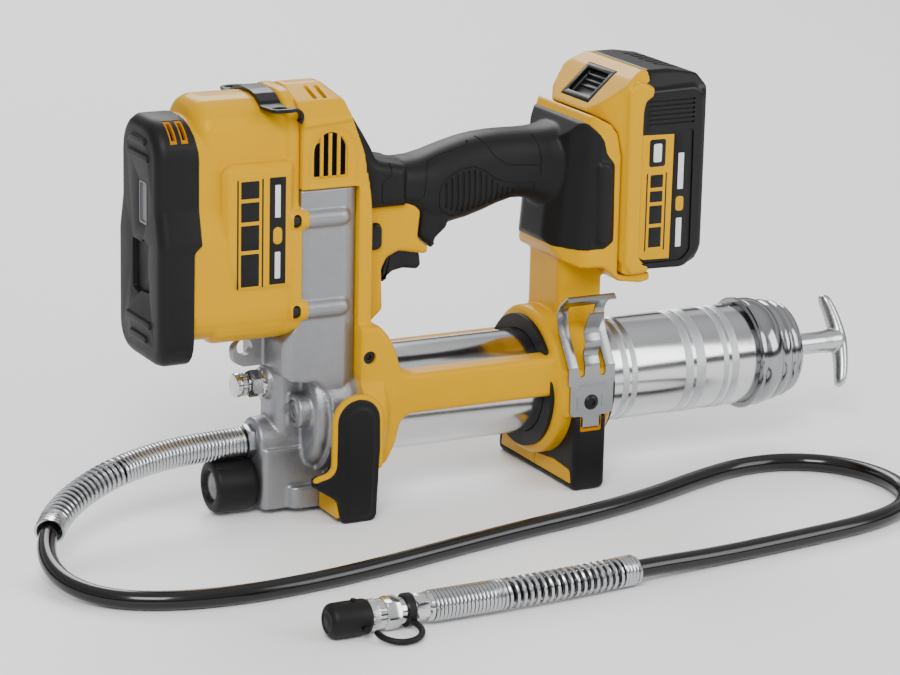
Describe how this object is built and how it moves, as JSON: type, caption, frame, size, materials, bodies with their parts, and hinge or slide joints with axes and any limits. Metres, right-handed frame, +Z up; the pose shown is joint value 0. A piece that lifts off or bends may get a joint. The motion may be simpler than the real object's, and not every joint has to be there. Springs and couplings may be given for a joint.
{
  "type": "grease gun",
  "caption": "Battery powered grease gun with a motor and gear case over a plunger pump, a screw-on cartridge barrel, a grip with trigger, and a guarded hose with a coupler.",
  "frame": {"origin": "middle of the front foot's underside, where it stands on the floor", "axes": "+X to the rear towards the T-handle, -Y the left side with the hose clip, +Z up"},
  "size_m": [0.5167, 0.2612, 0.234],
  "materials": {
    "yellow_plastic": "fine moulded texture, satin",
    "black_rubber": "soft matt overmould",
    "black_plastic": "satin moulded",
    "cast_aluminium": "shot-blasted casting",
    "plated_steel": "bright zinc and chrome plate",
    "spring_steel": "polished wire",
    "hose_rubber": "glossy smooth cover",
    "copper": "turned",
    "steel": "machined",
    "black_coated": "black coated stamping",
    "lens": "clear moulded",
    "circuit_board": "solder mask",
    "cell_sleeve": "shrink sleeve"
  },
  "bodies": {
    "tool": {"pump_casting": "cast_aluminium", "bearing_plate": "cast_aluminium", "case_screws": "steel", "plunger_seal": "black_rubber", "pump_end_plug": "steel", "check_valve": "spring_steel", "outlet_nut": "plated_steel", "side_plug": "plated_steel", "bleeder_body": "plated_steel", "lamp_boot": "black_rubber", "lamp_lens": "lens", "lamp_board": "circuit_board", "motor_can": "steel", "motor_bearings": "steel", "brush_holder": "black_plastic", "motor_housing": "yellow_plastic", "motor_cap": "black_rubber", "strap_bracket": "black_coated", "frame_left": "yellow_plastic", "frame_right": "yellow_plastic", "collar_bushings": "black_rubber", "grip_rubber": "black_rubber", "trigger_switch": "black_plastic", "front_foot": "black_rubber", "rear_foot": "black_rubber", "hose_clip": "plated_steel", "clip_screw": "plated_steel", "rail_block": "black_plastic", "hose": "hose_rubber", "hose_guard_front": "spring_steel", "hose_guard_rear": "spring_steel", "coupler_body": "plated_steel", "cap_tether": "black_rubber"},
    "barrel": {"barrel_tube": "plated_steel", "barrel_end_cap": "plated_steel", "follower_spring": "spring_steel"},
    "follower": {"follower_cup": "black_rubber", "follower_plate": "steel"},
    "pull_rod": {"follower_rod": "steel", "t_handle": "cast_aluminium"},
    "crank": {"crank_gear": "steel", "crank_shaft": "steel"},
    "idler": {"idler_gear": "steel", "idler_shaft": "steel"},
    "rotor": {"rotor_core": "steel", "commutator": "copper", "motor_shaft": "steel", "cooling_fan": "black_plastic"},
    "plunger": {"pump_plunger": "steel", "plunger_yoke": "steel"},
    "trigger": {"trigger": "black_plastic"},
    "lock_button": {"lock_button": "black_plastic"},
    "battery_pack": {"battery_cover": "yellow_plastic", "battery_case": "black_plastic", "battery_cells": "cell_sleeve", "battery_contacts": "copper"},
    "battery_release": {"battery_release": "black_plastic"},
    "bleeder_knob": {"bleeder_knob": "plated_steel"},
    "coupler_sleeve": {"coupler_sleeve": "plated_steel"},
    "coupler_cap": {"coupler_cap": "black_rubber"}
  },
  "joints": [
    {"name": "barrel_unscrew", "type": "hinge", "parent": "tool", "child": "barrel", "pos_m": [0.128, 0, 0.0536], "axis": [1, 0, 0], "range_deg": [0, 720]},
    {"name": "follower_slide", "type": "slide", "parent": "barrel", "child": "follower", "axis": [1, 0, 0], "range_m": [0, 0.2], "deforming": ["follower_spring"]},
    {"name": "rod_latch_turn", "type": "hinge", "parent": "follower", "child": "pull_rod", "pos_m": [0.3, 0, 0.0536], "axis": [1, 0, 0], "range_deg": [-90, 90]},
    {"name": "crank_turn", "type": "hinge", "parent": "tool", "child": "crank", "pos_m": [-0.01, 0, 0.138], "axis": [1, 0, 0], "continuous": true},
    {"name": "idler_turn", "type": "hinge", "parent": "tool", "child": "idler", "pos_m": [-0.02, 0, 0.169], "axis": [1, 0, 0], "continuous": true},
    {"name": "rotor_turn", "type": "hinge", "parent": "tool", "child": "rotor", "pos_m": [-0.07, 0, 0.197], "axis": [1, 0, 0], "continuous": true},
    {"name": "plunger_stroke", "type": "slide", "parent": "tool", "child": "plunger", "axis": [0, 0, 1], "range_m": [-0.009, 0.009]},
    {"name": "trigger_pull", "type": "slide", "parent": "tool", "child": "trigger", "axis": [-0.4108, 0, 0.9117], "range_m": [0, 0.0065], "stiffness_N_per_m": 900, "springref_m": -0.005},
    {"name": "lock_button_push", "type": "slide", "parent": "tool", "child": "lock_button", "axis": [0, 1, 0], "range_m": [-0.0025, 0.0025]},
    {"name": "battery_slide", "type": "slide", "parent": "tool", "child": "battery_pack", "axis": [0, 0, 1], "range_m": [0, 0.09]},
    {"name": "battery_release_press", "type": "slide", "parent": "battery_pack", "child": "battery_release", "axis": [0.6606, 0, -0.7507], "range_m": [0, 0.0035], "stiffness_N_per_m": 1500, "springref_m": -0.003},
    {"name": "bleeder_turn", "type": "hinge", "parent": "tool", "child": "bleeder_knob", "pos_m": [-0.051, 0, 0.0695], "axis": [1, 0, 0], "range_deg": [0, 360]},
    {"name": "coupler_sleeve_turn", "type": "hinge", "parent": "tool", "child": "coupler_sleeve", "pos_m": [-0.075, -0.1926, 0.009], "axis": [1, 0, 0], "range_deg": [0, 360]},
    {"name": "cap_pull_off", "type": "slide", "parent": "tool", "child": "coupler_cap", "axis": [-1, 0, 0], "range_m": [0, 0.025], "deforming": ["cap_tether"]}
  ],
  "couplings": [
    {"joint": "idler_turn", "follows": "crank_turn", "ratio": -3.1333},
    {"joint": "rotor_turn", "follows": "crank_turn", "ratio": 12.533}
  ]
}
